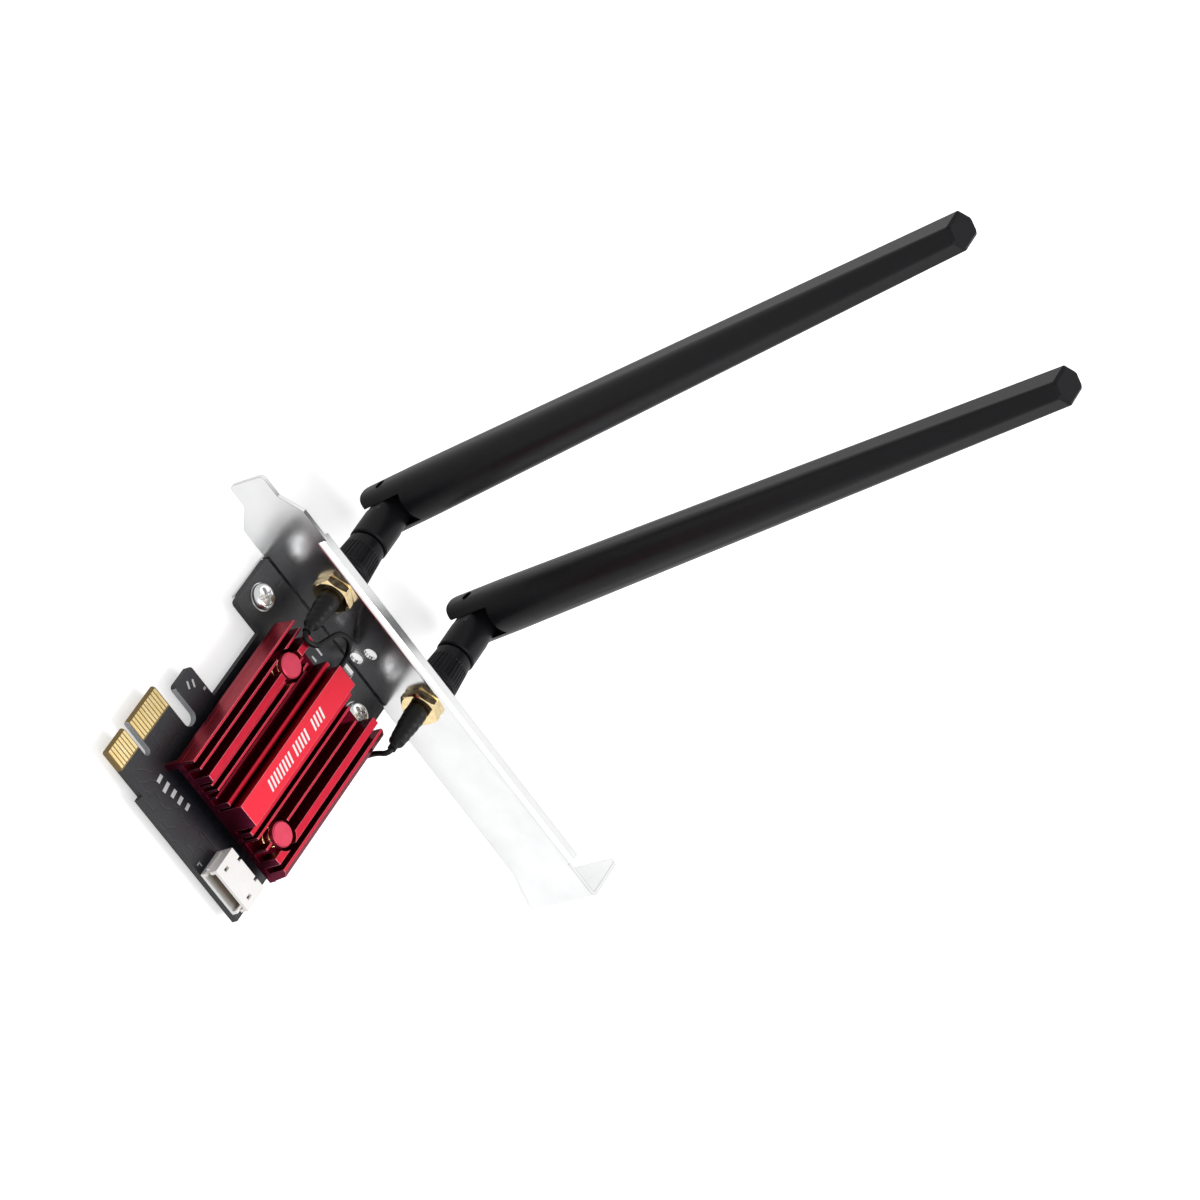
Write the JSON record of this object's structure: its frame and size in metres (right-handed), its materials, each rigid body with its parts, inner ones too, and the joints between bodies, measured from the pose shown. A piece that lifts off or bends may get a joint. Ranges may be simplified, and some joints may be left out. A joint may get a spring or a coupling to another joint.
{
  "type": "pcie wifi card",
  "caption": "Low black PCIe wireless card with a red finned heatsink, bright slot bracket and hinged black antennas that swivel and tilt on threaded jacks.",
  "frame": {"origin": "centre of the key notch on the board's mating edge, at half the board's thickness", "axes": "+X out through the slot bracket, +Y into the motherboard's slot, +Z off the component side"},
  "size_m": [0.1017, 0.1201, 0.1897],
  "materials": {
    "board": "matt black solder mask",
    "gold": "gold plated",
    "bracket": "bright nickel plate",
    "steel": "satin",
    "heatsink": "red anodised",
    "pin": "moulded red",
    "chip": "moulded",
    "pad": "soft",
    "cable": "satin jacket",
    "boot": "satin",
    "white": "moulded",
    "insulator": "machined",
    "antenna": "fine moulded texture"
  },
  "bodies": {
    "card": {"pcb": "board", "edge_contacts_front": "gold", "edge_contacts_back": "gold", "bracket": "bracket", "bracket_screws": "steel", "heatsink": "heatsink", "heatsink_pins": "pin", "heatsink_pin_springs": "steel", "shield_can": "steel", "radio_chip": "chip", "chip_thermal_pad": "pad", "heatsink_thermal_pad": "pad", "aerial_sockets": "gold", "aerial_plugs": "gold", "coax_cable_1": "cable", "coax_cable_2": "cable", "cable_boot_1": "boot", "cable_boot_2": "boot", "header_shroud": "white", "header_pins": "gold", "status_lamp": "white", "antenna_jack_1": "gold", "antenna_jack_2": "gold", "jack_insulators": "insulator", "jack_contacts": "gold", "jack_washers": "gold", "jack_nuts": "gold"},
    "antenna_1_nut_body": {"antenna_1_sleeve": "antenna", "antenna_1_coupling": "gold"},
    "antenna_1_base_body": {"antenna_1_base": "antenna", "antenna_1_plug": "gold"},
    "antenna_1_rod_body": {"antenna_1_rod": "antenna", "antenna_1_hinge_pin": "steel", "antenna_1_radiator": "gold"},
    "antenna_2_nut_body": {"antenna_2_sleeve": "antenna", "antenna_2_coupling": "gold"},
    "antenna_2_base_body": {"antenna_2_base": "antenna", "antenna_2_plug": "gold"},
    "antenna_2_rod_body": {"antenna_2_rod": "antenna", "antenna_2_hinge_pin": "steel", "antenna_2_radiator": "gold"}
  },
  "joints": [
    {"name": "antenna_1_nut_turn", "type": "hinge", "parent": "card", "child": "antenna_1_nut_body", "pos_m": [0.06645, -0.0162, 0.01083], "axis": [1, 0, 0], "continuous": true},
    {"name": "antenna_1_swivel", "type": "hinge", "parent": "card", "child": "antenna_1_base_body", "pos_m": [0.07245, -0.0162, 0.01083], "axis": [1, 0, 0], "range_deg": [-180, 4]},
    {"name": "antenna_1_tilt", "type": "hinge", "parent": "antenna_1_base_body", "child": "antenna_1_rod_body", "pos_m": [0.08645, -0.0162, 0.01083], "axis": [0, 0.9934, -0.1149], "range_deg": [0, 89.55]},
    {"name": "antenna_2_nut_turn", "type": "hinge", "parent": "card", "child": "antenna_2_nut_body", "pos_m": [0.06645, -0.04796, 0.01083], "axis": [1, 0, 0], "continuous": true},
    {"name": "antenna_2_swivel", "type": "hinge", "parent": "card", "child": "antenna_2_base_body", "pos_m": [0.07245, -0.04796, 0.01083], "axis": [1, 0, 0], "range_deg": [-4, 180]},
    {"name": "antenna_2_tilt", "type": "hinge", "parent": "antenna_2_base_body", "child": "antenna_2_rod_body", "pos_m": [0.08645, -0.04796, 0.01083], "axis": [0, 0.9969, -0.0785], "range_deg": [0, 90.15]}
  ]
}
